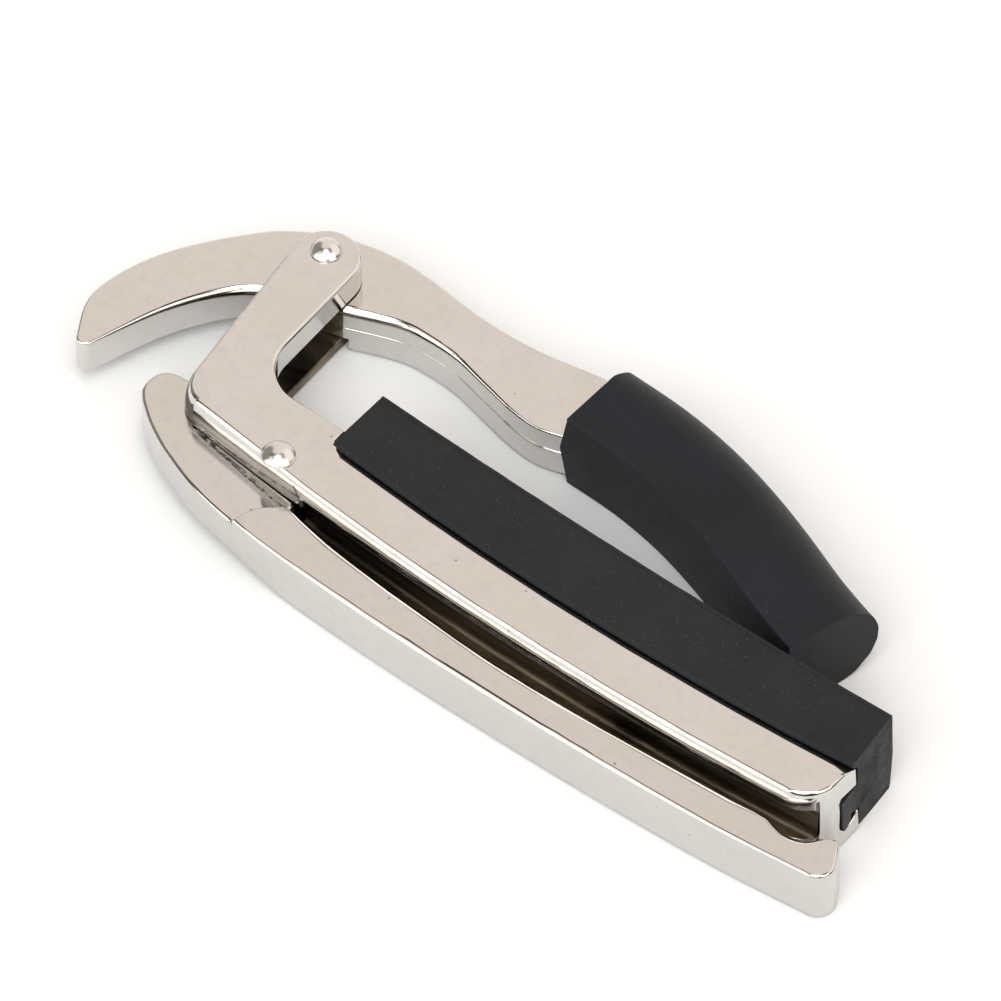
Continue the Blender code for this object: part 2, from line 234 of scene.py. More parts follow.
def loft(name, sections):
    """A closed solid through sections of equal point counts, each a list of (x, y, z)."""
    shape = bmesh.new()
    rings = [[shape.verts.new(world(*point)) for point in section] for section in sections]
    shape.faces.new(rings[0])
    shape.faces.new(list(reversed(rings[-1])))
    for first, second in zip(rings, rings[1:]):
        for i in range(len(first)):
            shape.faces.new((first[i - 1], second[i - 1], second[i], first[i]))
    return mesh_from(name, shape)


def turned(name, profile, centre, sides=72):
    """A body turned about an upright axis, from a profile of (radius, height) that starts and ends on it."""
    shape = bmesh.new()
    poles = [shape.verts.new(world(*centre, z)) for _, z in (profile[0], profile[-1])]
    rings = []
    for radius, z in profile[1:-1]:
        turns = [math.tau * i / sides for i in range(sides)]
        around = [(centre[0] + radius * math.cos(a), centre[1] + radius * math.sin(a)) for a in turns]
        rings.append([shape.verts.new(world(x, y, z)) for x, y in around])
    for first, second in zip(rings, rings[1:]):
        for i in range(sides):
            shape.faces.new((first[i - 1], second[i - 1], second[i], first[i]))
    for pole, ring in zip(poles, (rings[0], rings[-1])):
        for i in range(sides):
            shape.faces.new((pole, ring[i - 1], ring[i]))
    return mesh_from(name, shape)


def apply_modifiers(obj):
    """Leaves the object with the mesh that its modifiers make."""
    bpy.context.view_layer.update()
    made = bpy.data.meshes.new_from_object(obj.evaluated_get(bpy.context.evaluated_depsgraph_get()))
    obj.modifiers.clear()
    obj.data = made
    return obj


def rounded_plate(name, outline, low, high, edge_at, steps=6):
    """A plate whose upper edge is a quarter ellipse, with its width and depth at each point from edge_at."""
    count = len(outline)
    points = [Vector(p) for p in outline]
    inward = []
    for i in range(count):
        along = (points[i] - points[i - 1]).normalized()
        onward = (points[(i + 1) % count] - points[i]).normalized()
        turn = (along + onward).normalized()
        inward.append(Vector((-turn.y, turn.x)) / max(0.75, along.dot(turn)))
    if sum(a.cross(b) for a, b in zip(points, points[1:] + points[:1])) < 0:
        inward = [-direction for direction in inward]
    sizes = [edge_at(*p) for p in outline]
    shape = bmesh.new()
    rings = [[shape.verts.new(world(x, y, low)) for x, y in outline]]
    for k in range(steps + 1):
        turn = math.pi / 2 * k / steps
        ring = []
        for point, direction, (width, depth) in zip(points, inward, sizes):
            x, y = point + direction * width * (1 - math.cos(turn))
            ring.append(shape.verts.new(world(x, y, high - depth * (1 - math.sin(turn)))))
        rings.append(ring)
    shape.faces.new(rings[0])
    shape.faces.new(list(reversed(rings[-1])))
    for first, second in zip(rings, rings[1:]):
        for i in range(count):
            shape.faces.new((first[i - 1], first[i], second[i], second[i - 1]))
    return mesh_from(name, shape)


def cut(obj, *tools, operation="DIFFERENCE"):
    for tool in tools:
        boolean = obj.modifiers.new(tool.name, "BOOLEAN")
        boolean.operation = operation
        boolean.object = tool
        boolean.solver = "EXACT"
    apply_modifiers(obj)
    for tool in tools:
        bpy.data.objects.remove(tool, do_unlink=True)
    weld(obj)
    return obj


def weld(obj):
    """Joins the near-double points and the coplanar slivers that cuts leave."""
    shape = bmesh.new()
    shape.from_mesh(obj.data)
    bmesh.ops.remove_doubles(shape, verts=shape.verts, dist=WELD_GAP * MM)
    bmesh.ops.dissolve_degenerate(shape, edges=shape.edges, dist=SLIVER * MM)
    flat = math.radians(FLAT_ANGLE)
    bmesh.ops.dissolve_limit(shape, angle_limit=flat, verts=shape.verts, edges=shape.edges)
    shape.to_mesh(obj.data)
    shape.free()


def ease_edges(obj):
    """A small round on the edges that the cuts left sharp, kept within the piece where sharp corners meet."""
    bevel = obj.modifiers.new("ease", "BEVEL")
    bevel.width = EASE * MM
    bevel.segments = EASE_SEGMENTS
    bevel.limit_method = "ANGLE"
    bevel.angle_limit = math.radians(SHARP_METAL)
    bevel.use_clamp_overlap = False
    bevel.miter_outer = "MITER_ARC"
    low, high = (Vector(f(v.co[axis] for v in obj.data.vertices) for axis in range(3)) for f in (min, max))
    apply_modifiers(obj)
    for vertex in obj.data.vertices:
        vertex.co = [min(max(value, a), b) for value, a, b in zip(vertex.co, low, high)]
    weld(obj)
    return obj


def smooth_shaded(obj, sharp):
    obj.data.shade_smooth()
    obj.data.set_sharp_from_angle(angle=math.radians(sharp))
    return obj


def casting_shaded(obj):
    """Smooth shading that keeps a casting's flat faces flat beside its rounds."""
    smooth_shaded(obj, SHARP_METAL)
    weighted = obj.modifiers.new("weighted", "WEIGHTED_NORMAL")
    weighted.keep_sharp = True
    weighted.weight = 100
    return obj


# ---------------------------------------------------------------- materials

class Nodes:
    """A short way to write one material's node tree."""

    def __init__(self, name):
        self.material = bpy.data.materials.new(name)
        self.material.use_nodes = True
        self.tree = self.material.node_tree
        self.shader = self.tree.nodes["Principled BSDF"]
        self.coordinates = self.tree.nodes.new("ShaderNodeTexCoord").outputs["Object"]

    def set(self, **values):
        for name, value in values.items():
            self.shader.inputs[name.replace("_", " ")].default_value = value

    def link(self, source, target):
        self.tree.links.new(source, self.shader.inputs[target] if isinstance(target, str) else target)

    def stretched(self, scale):
        mapping = self.tree.nodes.new("ShaderNodeMapping")
        mapping.inputs["Scale"].default_value = scale
        self.tree.links.new(self.coordinates, mapping.inputs["Vector"])
        return mapping.outputs["Vector"]

    def noise(self, scale, detail=3.0, roughness=0.5, stretch=(1, 1, 1), distortion=0.0):
        node = self.tree.nodes.new("ShaderNodeTexNoise")
        node.inputs["Scale"].default_value = scale
        node.inputs["Detail"].default_value = detail
        node.inputs["Roughness"].default_value = roughness
        node.inputs["Distortion"].default_value = distortion
        self.tree.links.new(self.stretched(stretch), node.inputs["Vector"])
        return node.outputs["Fac"]

    def cells(self, scale):
        """The distance to the nearest of scattered points."""
        node = self.tree.nodes.new("ShaderNodeTexVoronoi")
        node.inputs["Scale"].default_value = scale
        self.tree.links.new(self.stretched((1, 1, 1)), node.inputs["Vector"])
        return node.outputs["Distance"]

    def near_line(self, start, end, half_width):
        """1 on the line between two plan points, falling to 0 at half_width beside it and at its ends."""
        core, fade = 0.3, 2 * MM
        a, b = Vector(world(*start, 0)), Vector(world(*end, 0))
        along = (b - a).normalized()
        across = Vector((-along.y, along.x, 0))
        edge = half_width * MM
        left = self.spread(self.measured(across, a), 0.0, 1.0, -edge, -edge * core)
        right = self.spread(self.measured(across, a), 1.0, 0.0, edge * core, edge)
        first = self.spread(self.measured(along, a), 0.0, 1.0, 0.0, fade)
        last = self.spread(self.measured(along, b), 1.0, 0.0, -fade, 0.0)
        return self.product(self.product(left, right), self.product(first, last))

    def measured(self, direction, start):
        """The distance along a direction from a point."""
        node = self.tree.nodes.new("ShaderNodeVectorMath")
        node.operation = "DOT_PRODUCT"
        node.inputs[1].default_value = direction
        self.tree.links.new(self.coordinates, node.inputs[0])
        shift = self.tree.nodes.new("ShaderNodeMath")
        shift.operation = "SUBTRACT"
        shift.inputs[1].default_value = direction.dot(start)
        self.tree.links.new(node.outputs["Value"], shift.inputs[0])
        return shift.outputs["Value"]

    def product(self, first, second):
        node = self.tree.nodes.new("ShaderNodeMath")
        node.operation = "MULTIPLY"
        self.tree.links.new(first, node.inputs[0])
        self.tree.links.new(second, node.inputs[1])
        return node.outputs["Value"]

    def ramp(self, value, *stops):
        node = self.tree.nodes.new("ShaderNodeValToRGB")
        elements = node.color_ramp.elements
        while len(elements) < len(stops):
            elements.new(0.5)
        for element, (position, colour) in zip(elements, stops):
            element.position = position
            element.color = (*colour, 1) if hasattr(colour, "__len__") else (colour, colour, colour, 1)
        self.tree.links.new(value, node.inputs["Fac"])
        return node.outputs["Color"]

    def spread(self, value, low, high, start=0.0, end=1.0):
        node = self.tree.nodes.new("ShaderNodeMapRange")
        for name, number in (("From Min", start), ("From Max", end), ("To Min", low), ("To Max", high)):
            node.inputs[name].default_value = number
        self.tree.links.new(value, node.inputs["Value"])
        return node.outputs["Result"]

    def mix(self, first, second, factor, blend="MIX"):
        node = self.tree.nodes.new("ShaderNodeMix")
        node.data_type = "RGBA"
        node.blend_type = blend
        for source, target in ((factor, node.inputs[0]), (first, node.inputs[6]), (second, node.inputs[7])):
            if isinstance(source, tuple):
                target.default_value = (*source, 1)
            elif isinstance(source, float):
                target.default_value = source
            else:
                self.tree.links.new(source, target)
        return node.outputs[2]

    def bump(self, *layers):
        """Layers of (height, strength, distance in millimetres), one over the other."""
        normal = None
        for height, strength, distance in layers:
            node = self.tree.nodes.new("ShaderNodeBump")
            node.inputs["Strength"].default_value = strength
            node.inputs["Distance"].default_value = distance * MM
            self.tree.links.new(height, node.inputs["Height"])
            if normal:
                self.tree.links.new(normal, node.inputs["Normal"])
            normal = node.outputs["Normal"]
        self.link(normal, "Normal")


BLACK = (0.0, 0.0, 0.0)
PLATING = (0.66, 0.645, 0.625)
LEVER_PLATING = (0.625, 0.61, 0.59)
PLATING_STAIN = (0.58, 0.55, 0.52)
PIT = (0.16, 0.13, 0.11)
PLATED_GLOSS = (0.05, 0.16)
STEEL = (0.70, 0.69, 0.67)
STEEL_STAIN = (0.66, 0.64, 0.62)
STEEL_GLOSS = (0.2, 0.28)
# The line on the lever along the frame's front edge is a real scuff, darkened in part as painted shadow of the
# gap under that edge.
SCUFF_AND_SHADOW_LINE = ((-10.5, -0.5), (4.2, -2.9), 0.3)
SCUFF_AND_PAINTED_SHADOW_DARK = (0.12, 0.105, 0.09)
SCUFF_DULLNESS = (0.3, 0.3, 0.3)
PAD_BLACK = (0.017, 0.018, 0.020)
SLEEVE_BLACK = (0.006, 0.009, 0.0135)
RUBBER_DUST = (0.16, 0.16, 0.165)
CUT_DUST = (0.11, 0.11, 0.112)
RUBBER_SPECULAR = 0.25


def nickel(name, colour, stain, gloss_range=PLATED_GLOSS, scuff_and_shadow=None):
    """Bright nickel plate over a die casting: waviness, polishing lines, pits, stains, and a scuffed line
    darkened in part as painted shadow.
    """
    nodes = Nodes(name)
    nodes.set(Metallic=1.0)
    cloud = nodes.noise(120, 4, 0.6)
    fine = nodes.noise(900, 5, 0.6)
    lines = nodes.noise(260, 4, 0.7, stretch=(0.12, 3.0, 1.0))
    pit = nodes.ramp(nodes.cells(240), (0.0, 1.0), (0.045, 0.0))
    tone = nodes.mix(colour, stain, nodes.ramp(cloud, (0.38, 0.0), (0.74, 0.4)))
    tone = nodes.mix(tone, tuple(c * 0.84 for c in colour), nodes.ramp(fine, (0.48, 0.0), (0.72, 0.35)))
    tone = nodes.mix(tone, PIT, pit)
    gloss = nodes.spread(lines, *gloss_range)
    layers = [(nodes.noise(70, 2, 0.4), 0.25, 0.05), (lines, 0.05, 0.02), (fine, 0.07, 0.012)]
    # Dark flecks along the line: partly scuffed wear, partly painted shadow where the frame's edge overhangs
    # the lever.
    if scuff_and_shadow:
        start, end, width = scuff_and_shadow
        rubbed_and_shaded = nodes.near_line(start, end, width)
        scuff_and_shadow_flecks = nodes.ramp(nodes.noise(3600, 4, 0.7, stretch=(0.5, 1.0, 1.0)), (0.46, 0.0), (0.54, 1.0))
        scuff_and_shadow_mark = nodes.mix(BLACK, scuff_and_shadow_flecks, rubbed_and_shaded)
        tone = nodes.mix(tone, SCUFF_AND_PAINTED_SHADOW_DARK, scuff_and_shadow_mark)
        layers.append((scuff_and_shadow_mark, 1.0, 0.1))
        dull = nodes.mix(BLACK, SCUFF_DULLNESS, nodes.near_line(start, end, width * 3))
        gloss = nodes.mix(gloss, dull, 1.0, "ADD")
    nodes.link(tone, "Base Color")
    nodes.link(gloss, "Roughness")
    nodes.bump(*layers)
    return nodes.material


def rubber(name, colour, roughness, dust, grain):
    """Black rubber with a fine moulded grain and specks of light dust."""
    nodes = Nodes(name)
    cloud = nodes.noise(90, 5, 0.65)
    fine = nodes.noise(1500, 4, 0.6)
    speck = nodes.ramp(nodes.cells(2100), (0.0, 1.0), (0.13, 0.0))
    some = nodes.ramp(nodes.noise(620, 2), (0.42, 0.0), (0.58, dust))
    dark = tuple(c * 0.65 for c in colour)
    base = nodes.mix(dark, colour, nodes.ramp(cloud, (0.3, 0.0), (0.7, 1.0)))
    dots = nodes.mix(BLACK, speck, some)
    nodes.link(nodes.mix(base, RUBBER_DUST, dots), "Base Color")
    nodes.link(nodes.spread(fine, roughness - 0.08, roughness + 0.12), "Roughness")
    nodes.set(Specular_IOR_Level=RUBBER_SPECULAR)
    nodes.bump((cloud, 0.2, 0.08), (fine, grain, 0.03))
    return nodes.material


def cut_rubber(name):
    """The pad's ends, cut by hand: greyer than the moulded skin, blotched and rough."""
    nodes = Nodes(name)
    blotch = nodes.noise(260, 6, 0.7)
    grain = nodes.noise(1300, 4, 0.7)
    base = nodes.ramp(blotch, (0.38, (0.016, 0.016, 0.018)), (0.66, (0.062, 0.061, 0.063)))
    speck = nodes.ramp(grain, (0.60, 0.0), (0.72, 0.7))
    nodes.link(nodes.mix(base, CUT_DUST, speck), "Base Color")
    nodes.set(Roughness=0.8, Specular_IOR_Level=RUBBER_SPECULAR)
    nodes.bump((blotch, 0.5, 0.2), (grain, 0.6, 0.06))
    return nodes.material


def hollow_shade_paint(name):
    """Painted shade for a casting's hollows: dark, uneven and streaked metal."""
    nodes = Nodes(name)
    nodes.set(Metallic=1.0)
    streak = nodes.noise(160, 5, 0.65, stretch=(0.25, 1.0, 2.5), distortion=0.6)
    tone = nodes.ramp(streak, (0.40, (0.06, 0.05, 0.04)), (0.64, (0.34, 0.27, 0.19)))
    nodes.link(tone, "Base Color")
    nodes.link(nodes.spread(streak, 0.25, 0.5), "Roughness")
    nodes.bump((nodes.noise(420, 5, 0.7), 0.5, 0.05))
    return nodes.material


def finish(obj, materials, body, replaced):
    """Gives a piece its materials and says which body it rides and which node it stands for."""
    kept = [face.material_index for face in obj.data.polygons]
    obj.data.materials.clear()
    for material in materials:
        obj.data.materials.append(material)
    for face, index in zip(obj.data.polygons, kept):
        face.material_index = min(index, len(materials) - 1)
    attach(obj, body)
    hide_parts(replaced)
    return obj


# ---------------------------------------------------------------- castings

def frame_outline():
    left = HEEL[0] - 0.3
    right = BAR_END_X - BAR_CORNER_RADIUS
    corner = (right, BAR_OUTER_Y + bow(right) + BAR_CORNER_RADIUS)
    outer = [(x, BAR_OUTER_Y + bow(x)) for x in stations(left, right, 44)]
    lip = [(x, BAR_LIP_Y + bow(x)) for x in stations(BAR_END_X, BAR_START_X, 36)]
    fillet = (BAR_START_X - 6.5, EAR_ROOT_Y + INNER_FILLET)
    return (
        outer
        + arc(corner, BAR_CORNER_RADIUS, -82, 0, 14)
        + lip
        + [(BAR_START_X, EAR_ROOT_Y)]
        + arc(fillet, INNER_FILLET, 270, 180, 18)
        + arc(EAR_TIP, EAR_TIP_RADIUS, 0, 180, 40)
        + arc(HEEL, HEEL_RADIUS, 180, 258, 18)
    )


def along_bar(section_at, start, end, steps=44):
    """The bar's bowed run of a section of (y, z), where y is measured from the bow."""
    return [[(x, y + bow(x), z) for y, z in section_at(x)] for x in stations(start, end, steps)]


def frame_edge(x, y):
    """The round of the frame's upper edge: deeper along the front, and deepest on the heel.

    The front of the fork lies below y 5, and the bar's front is the side away from the pad.
    """
    in_front = held((5.0 - y) / 3 if x < 1.5 else (0.2 - y + bow(x)) / 2.5)
    on_heel = in_front * held((3.5 - x) / 6)
    return tuple(EDGE + front * in_front + heel * on_heel for front, heel in zip(FRONT_EXTRA, HEEL_EXTRA))


CHANNEL_FLOOR = FRAME_BOTTOM + FLANGE
CHANNEL_ROOF = FRAME_TOP - FLANGE


def channel_at(x):
    """The channel's section. Its roof climbs from the fork's slot to full height."""
    top = SLOT_TOP + (CHANNEL_ROOF - SLOT_TOP) * min(1.0, (x - FORK_SLOT_END_X + 0.5) / CHANNEL_RISE)
    outside = BAR_OUTER_Y - 3
    inside = WEB_OUTER_Y - CHANNEL_FILLET
    return ([(outside, CHANNEL_FLOOR)]
            + arc((inside, CHANNEL_FLOOR + CHANNEL_FILLET), CHANNEL_FILLET, -90, 0, 6)
            + arc((inside, top - CHANNEL_FILLET), CHANNEL_FILLET, 0, 90, 6) + [(outside, top)])


def pad_slot_at(x):
    """The section of the slot for the pad's foot, which is the same all along the bar."""
    lip = BAR_LIP_Y - LIP_THICKNESS
    outside = BAR_LIP_Y + 2
    return (arc((WEB_INNER_Y + FOOT_RADIUS, FOOT_Z), FOOT_RADIUS, 180, 290, 8)
            + [(lip, LIP_TOP_Z), (lip + 0.4, FOOT_Z - 0.1), (outside, FOOT_Z), (outside, PAD_SLOT_ROOF),
               (WEB_INNER_Y + 0.4, PAD_SLOT_ROOF + 0.2)])


def fall_at(x):
    """The section above the bar's fall, which starts as a ramp so that no needle of metal is left."""
    start = FRAME_TOP + 0.8 * max(0.0, 1 - (x - BAR_START_X) / FALL_RAMP)
    above = FRAME_TOP + 2
    return [(FALL_START_Y, start), (FALL_END_Y, start - FALL), (FALL_END_Y, above), (FALL_START_Y, above)]


def is_hollow(face):
    """Whether a frame's face gets the painted shade of the hollows: in the fork, in the channel, or inside the
    lower ear.
    """
    x, y, z = face.center / MM
    x, y = x - PIVOT[0], y - PIVOT[1]
    from_bow = y - bow(x)
    in_fork = x < FORK_SLOT_END_X + 2 and SLOT_BOTTOM - 0.1 < z < SLOT_TOP + 0.05 and abs(face.normal.z) > 0.5
    in_bar = (FORK_SLOT_END_X - 1 < x < BAR_END_X and CHANNEL_FLOOR - 0.05 < z < CHANNEL_ROOF + 0.05
              and BAR_OUTER_Y + 0.35 < from_bow < BAR_LIP_Y - 0.2 and abs(x - BAR_END_X) > 0.5)
    lower_ear = z < SLOT_BOTTOM + 0.1 and x < BAR_START_X and y > EAR_ROOT_Y and face.normal.x > 0.2
    return in_fork or in_bar or lower_ear


def build_frame():
    """The fork and the bar, one casting, with its free end leaning out at the foot."""
    body = rounded_plate("frame_body", frame_outline(), FRAME_BOTTOM, FRAME_TOP, frame_edge)
    fork_box = [(-20, -6), (FORK_SLOT_END_X, -6), (FORK_SLOT_END_X, 30), (-20, 30)]
    cut(body,
        plate("cut_fork", fork_box, SLOT_BOTTOM, SLOT_TOP),
        plate("cut_lever_room", arc((0, 0), LEVER_ROOM, 0, 354, 59), SLOT_BOTTOM, SLOT_TOP),
        loft("cut_channel", along_bar(channel_at, FORK_SLOT_END_X - 0.5, PAST_BAR_X)),
        loft("cut_pad_slot", along_bar(pad_slot_at, BAR_START_X, PAST_BAR_X)),
        loft("cut_slope", along_bar(fall_at, BAR_START_X, PAST_BAR_X)))
    for vertex in body.data.vertices:
        x, z = vertex.co.x / MM - PIVOT[0], vertex.co.z / MM
        if x > BAR_END_X - 0.1:
            vertex.co.x += BAR_END_LEAN * (1 - z / FRAME_TOP) * MM
    ease_edges(body)
    # Faces in the hollows take the second material, whose dark streaked colour is painted shade.
    for face in body.data.polygons:
        face.material_index = int(is_hollow(face))
    return casting_shaded(body)


# The arm's wall towards the jaw, in plan, from the hub to the sleeve.
NECK_INSIDE = [(-7.9, 19.6), (-2.8, 21.6), (0.2, 22.0), (3.9, 21.9), (7.8, 21.1), (12.3, 20.2), (15.6, 20.1),
               (18.9, 21.1)]


def arm_outline():
    """The claw on the left, the hub, and the shoulder that the sleeve meets on the right."""
    claw_inside = smooth([(-24.4, 1.2), (-21.4, 9.2), (-17.8, 14.8), (-14.3, 17.4), (-11.0, 18.7),
                          (-7.9, 19.6)], 12)
    neck_inside = smooth(NECK_INSIDE, 10)
    shoulder = smooth([(18.9, 27.6), (18.3, 28.5), (16.8, 28.9)], 5)
    back = smooth([(16.8, 28.9), (9.7, 27.7), (3.2, 27.5), (-3.7, 28.2), (-8.9, 28.2), (-14.3, 26.8),
                   (-18.8, 24.1), (-21.9, 20.7), (-25.2, 16.0), (-27.2, 11.6), (-28.1, 7.3), (-27.7, 4.5),
                   (-26.0, 1.3)], 10)
    tip = arc((-25.2, 1.75), 0.95, 205, 320, 8)
    return claw_inside[:-1] + neck_inside + shoulder[:-1] + back[:-1] + tip


def seam_groove():
    """The parting line of the arm's two dies, opening towards the sleeve."""
    wall = smooth(NECK_INSIDE, 14)
    sections = []
    for x, y in wall:
        broken = 0.5 + 0.5 * noise.noise(Vector((x * 1.3, 0, 0)))
        half = 0.05 + 0.05 * broken + 0.10 * held((x - 9) / 5)
        outside, inside = y - 0.4, y + 0.22
        sections.append([(x, outside, SEAM_Z - half), (x, inside, SEAM_Z - half * 0.4),
                         (x, inside, SEAM_Z + half * 0.4), (x, outside, SEAM_Z + half)])
    return loft("cut_seam", sections)


def arm_edge(x, y):
    """The round of the arm's upper edge: wide near the hub, and narrowing along the claw and the neck."""
    reach = CLAW_REACH if x < ARM_PIVOT[0] else NECK_REACH
    width = ARM_EDGE + HUB_EXTRA * max(0.0, 1 - max(0.0, math.dist((x, y), ARM_PIVOT) - HUB_RADIUS) / reach)
    return width, width


def build_arm():
    """The arm, cut away beneath where it works between the ears."""
    arm = rounded_plate("neck_arm_body", arm_outline(), FRAME_BOTTOM, TONGUE_TOP, arm_edge)
    claw_side = [(-35, -5), (ARM_PIVOT[0], -5), (ARM_PIVOT[0], 35), (-35, 35)]
    cut(arm,
        plate("cut_hub_relief", arc(ARM_PIVOT, HUB_RELIEF, 0, 354, 59), -1, TONGUE_BOTTOM),
        plate("cut_claw_relief", claw_side, -1, TONGUE_BOTTOM),
        seam_groove())
    return casting_shaded(ease_edges(arm))


def lever_outline():
    nose = smooth([(-14.4, 3.8), (-15.8, 3.6), (-16.8, 2.9), (-17.2, 1.6), (-17.0, 0.2), (-16.1, -0.9)], 5)
    outside = smooth([(-16.1, -0.9), (-13.8, -2.6), (-10.5, -4.3), (-5.4, -6.1), (0.7, -7.2), (8.0, -7.8),
                      (22.0, -8.2), (40.0, -8.0), (57.2, -7.2), (68.8, -6.0)], 10)
    end = arc((68.9, -4.2), 1.8, -80, 20, 14)
    notch = smooth([(69.4, -1.5), (68.5, -1.0), (67.4, -1.5), (66.2, -2.6), (65.0, -3.1), (63.6, -3.1),
                    (62.0, -2.8)], 5)
    inside = smooth([(62.0, -2.8), (54.2, -3.4), (42.0, -4.2), (31.0, -4.6), (20.4, -4.2), (12.2, -3.6),
                     (6.0, -2.9), (3.6, -2.5)], 10)
    hub = arc((0, 0), 3.2, -18, 70, 16)
    return nose[:-1] + outside + end + notch[:-1] + inside + hub + [(-3.0, 3.6), (-9.0, 3.9)]


def lever_edge(x, y):
    """The round of the lever's upper edge: wider in the end's notch and inside, and unevenly worn outside."""
    in_notch = held((x - 60.5) / 3) * held((67.8 - x) / 1.5) * float(y > -3.6)
    outside = float(y < -5.8) * held((x - 2) / 14) * held((66 - x) / 22)
    worn = outside * (0.26 + wobble(x, 0, 5, 2.6, 0.16) + wobble(x, 0, 9, 0.9, 0.08))
    inside = float(y > -5.2) * held((x - 4) / 5) * held((62 - x) / 4)
    return tuple(EDGE + notch * in_notch + worn + extra * inside
                 for notch, extra in zip(NOTCH_EXTRA, INSIDE_EXTRA))


def build_lever():
    """The low nose that works between the ears and the thicker handle, joined where a step shows.

    The nose reaches a little past the step, so that the two overlap before they are joined.
    """
    step = smooth([(-0.6, -8.6), (0.2, -6.4), (1.0, -4.4), (3.4, -2.15), (5.2, -0.9)], 6)
    nose_side = step + [(5.2, 12), (-25, 12), (-25, -8.6)]
    handle_side = [(x + 0.3, y + 0.1) for x, y in step] + [(80, -0.8), (80, -9)]
    lever = rounded_plate("lever_body", lever_outline(), -1.0, HANDLE_TOP, lever_edge)
    nose = rounded_plate("tongue_edge", lever_outline(), -1.0, TONGUE_TOP, lever_edge)
    cut(lever, plate("cut_tongue", nose_side, -3, HANDLE_TOP + 1))
    cut(nose, plate("cut_handle", handle_side, -3, HANDLE_TOP + 1))
    cut(lever, nose, operation="UNION")
    rise = TONGUE_BOTTOM - FRAME_BOTTOM
    under = [(-25, TONGUE_BOTTOM)]
    for x in stations(RAMP_START_X, RAMP_START_X + RAMP_LENGTH, 12):
        turn = math.pi * (x - RAMP_START_X) / RAMP_LENGTH
        under.append((x, FRAME_BOTTOM + rise * (1 + math.cos(turn)) / 2))
    under.append((75, FRAME_BOTTOM))
    beneath = [[(x, y, z) for x, z in under] + [(75, y, -3), (-25, y, -3)] for y in (-20, 15)]
    cut(lever, loft("cut_beneath", beneath))
    return casting_shaded(ease_edges(lever))


def build_rivet(name, centre, shank, head):
    """A rivet with a low domed head, a crisp rim and a flat tail."""
    ball = (head ** 2 + RIVET_DOME ** 2) / (2 * RIVET_DOME)
    rim = math.degrees(math.asin(head / ball))
    seat = FRAME_TOP + 0.03
    dome = [(ball * math.sin(a), seat + RIVET_DOME - ball + ball * math.cos(a))
            for a in map(math.radians, stations(0, rim - 4, 20))]
    tail = FRAME_BOTTOM - 0.06
    edge = [(head, seat + 0.12), (head, seat + 0.03), (head - 0.05, seat), (shank, seat)]
    shaft = [(shank, tail), (RIVET_TAIL, tail), (RIVET_TAIL, 0.14), (RIVET_TAIL - 0.08, 0.04),
             (RIVET_TAIL - 0.2, 0), (0, 0)]
    return smooth_shaded(turned(name, dome + edge + shaft, centre), SHARP_RIVET)


# ---------------------------------------------------------------- rubber

def wobble(x, y, z, size, amount):
    return amount * noise.noise(Vector((x, y, z)) / size)


def rounded(corners, steps=4):
    """A closed outline from corners of (a, b, radius), each rounded by a curve that starts a radius away."""
    outline = []
    for i, (a, b, radius) in enumerate(corners):
        corner = Vector((a, b))
        before = (Vector(corners[i - 1][:2]) - corner).normalized()
        after = (Vector(corners[(i + 1) % len(corners)][:2]) - corner).normalized()
        if radius == 0:
            outline.append(tuple(corner))
            continue
        start, end = corner + before * radius, corner + after * radius
        for k in range(steps + 1):
            t = k / steps
            outline.append(tuple(start * (1 - t) ** 2 + corner * 2 * t * (1 - t) + end * t ** 2))
    return outline


def pad_profile(face):
    """The pad's section of (y, z): face, foot in the bar's slot, lip on the metal, and a shallow groove."""
    side = 3.9
    return rounded([
        (face, RUBBER_HEIGHT, 0.12), (face - 0.1, 5.0, 1.2), (face - 0.7, 0, 0.25), (side, 0, 0.15),
        (side, 2.85, 0.1), (2.7, 2.8, 0.1), (2.5, 1.5, 0.3), (1.3, 1.6, 0.3), (1.05, 2.6, 0.2),
        (1.05, 6.1, 0.2), (2.7, 6.1, 0.1), (side, 6.1, 0.1), (side, 8.75, 0.1), (3.15, 9.2, 0.12),
        (3.1, 9.62, 0.12), (3.35, 9.98, 0.08), (3.75, 9.8, 0.1),
        (face - 0.55, 9.99, 0.04), (face - 0.45, 9.88, 0.04), (face - 0.32, 10.02, 0.04)])


def build_pad():
    """The extruded pad, with a wavy skin and ends cut by hand."""
    sections = []
    for i, x in enumerate(stations(PAD_START_X, PAD_END_X, PAD_STEPS)):
        near_end = max(0.0, (x - PAD_END_X + 6) / 6)
        near_start = max(0.0, (PAD_START_X + 4 - x) / 4)
        section = []
        for y, z in pad_profile(PAD_DEPTH + bow(x, PAD_FACE_RADIUS) - bow(x)):
            slant = -1.1 * near_end * y / PAD_DEPTH - 0.35 * near_start * (1 - y / PAD_DEPTH)
            lean = 0.35 * (1 - z / RUBBER_HEIGHT) * near_end
            ragged = 0.0
            if i in (0, PAD_STEPS):
                ragged = wobble(y, z, i, 0.9, 0.16) + wobble(y, z, i, 0.3, 0.08)
            section.append((x + slant + lean + ragged,
                            y + bow(x) + wobble(x, z * 2, 3, 2.2, 0.03), z + wobble(x, y, 7, 1.6, 0.035)))
        sections.append(section)
    pad = loft("pad_rubber_body", sections)
    for face in pad.data.polygons:
        is_cut_end = len(face.vertices) > 4
        face.material_index = int(is_cut_end)
    return smooth_shaded(pad, SHARP_RUBBER)


# The sleeve's wall towards the neck, in plan.
SLEEVE_WALL = [(18.9, 20.3), (25.0, 20.1), (30.5, 19.3), (35.5, 18.0), (40.2, 16.4), (46.1, 14.1),
               (50.0, 12.8), (52.6, 12.05)]


